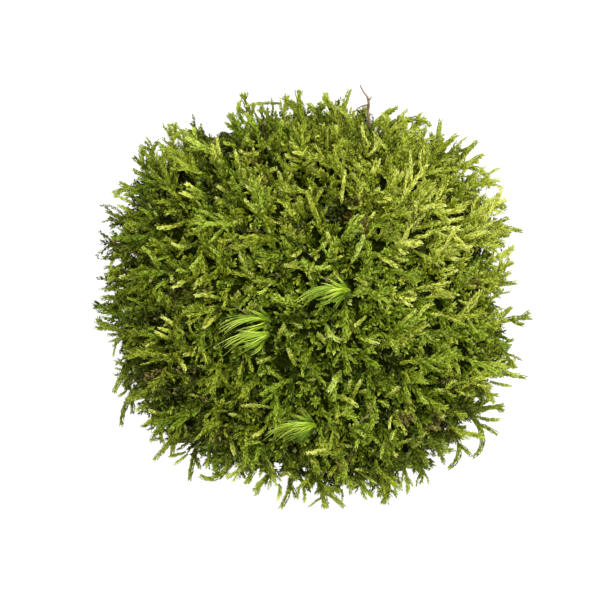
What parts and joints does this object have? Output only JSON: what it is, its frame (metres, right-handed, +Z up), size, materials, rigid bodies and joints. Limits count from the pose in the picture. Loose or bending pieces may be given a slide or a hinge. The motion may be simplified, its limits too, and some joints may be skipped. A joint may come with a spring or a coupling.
{
  "type": "moss clump",
  "caption": "Round low cushion of feather moss with single fronds standing out of its rim, tufts of a hair-leaved second moss and dry stalks, cut flat to rest on its base.",
  "frame": {"origin": "centre of the bounding box in plan, at the height of the flat cut base", "axes": "+Z up out of the floor, +Y towards the top of the view from above, +X to its right"},
  "size_m": [0.1206, 0.1164, 0.0488],
  "materials": {
    "moss_mass": "dull, leafy",
    "feather_moss": "dull with lighter leaf tips",
    "fork_moss": "silky",
    "dry_stem": "dry, matt",
    "dry_straw": "dry, matt"
  },
  "bodies": {
    "root": {"dry_stalk_left": "dry_straw", "dry_stalk_lower": "dry_straw", "dry_stalk_middle": "dry_straw", "dry_stem": "dry_stem", "fork_moss_lower": "fork_moss", "fork_moss_main": "fork_moss", "fork_moss_middle": "fork_moss", "frond_east_bright": "feather_moss", "frond_east_fork": "feather_moss", "frond_east_long": "feather_moss", "frond_east_low": "feather_moss", "frond_east_side": "feather_moss", "frond_east_spike": "feather_moss", "frond_east_tree": "feather_moss", "frond_left_bright": "feather_moss", "frond_left_upper": "feather_moss", "frond_north_arch": "feather_moss", "frond_north_left": "feather_moss", "frond_north_small": "feather_moss", "frond_north_thick": "feather_moss", "frond_northeast_hook": "feather_moss", "frond_northeast_long": "feather_moss", "frond_northeast_short": "feather_moss", "frond_northeast_upright": "feather_moss", "frond_northwest_crook": "feather_moss", "frond_northwest_hook": "feather_moss", "frond_northwest_leafy": "feather_moss", "frond_south_arch": "feather_moss", "frond_south_fan": "feather_moss", "frond_south_lean": "feather_moss", "frond_south_star": "feather_moss", "frond_south_stub": "feather_moss", "frond_south_thick": "feather_moss", "frond_southeast_crook": "feather_moss", "frond_southeast_hook": "feather_moss", "frond_southwest_bent": "feather_moss", "frond_southwest_long": "feather_moss", "frond_southwest_spike": "feather_moss", "frond_top_long": "feather_moss", "frond_top_middle": "feather_moss", "frond_top_right": "feather_moss", "frond_west_fan": "feather_moss", "frond_west_level": "feather_moss", "moss_cushion": "moss_mass"}
  },
  "joints": []
}
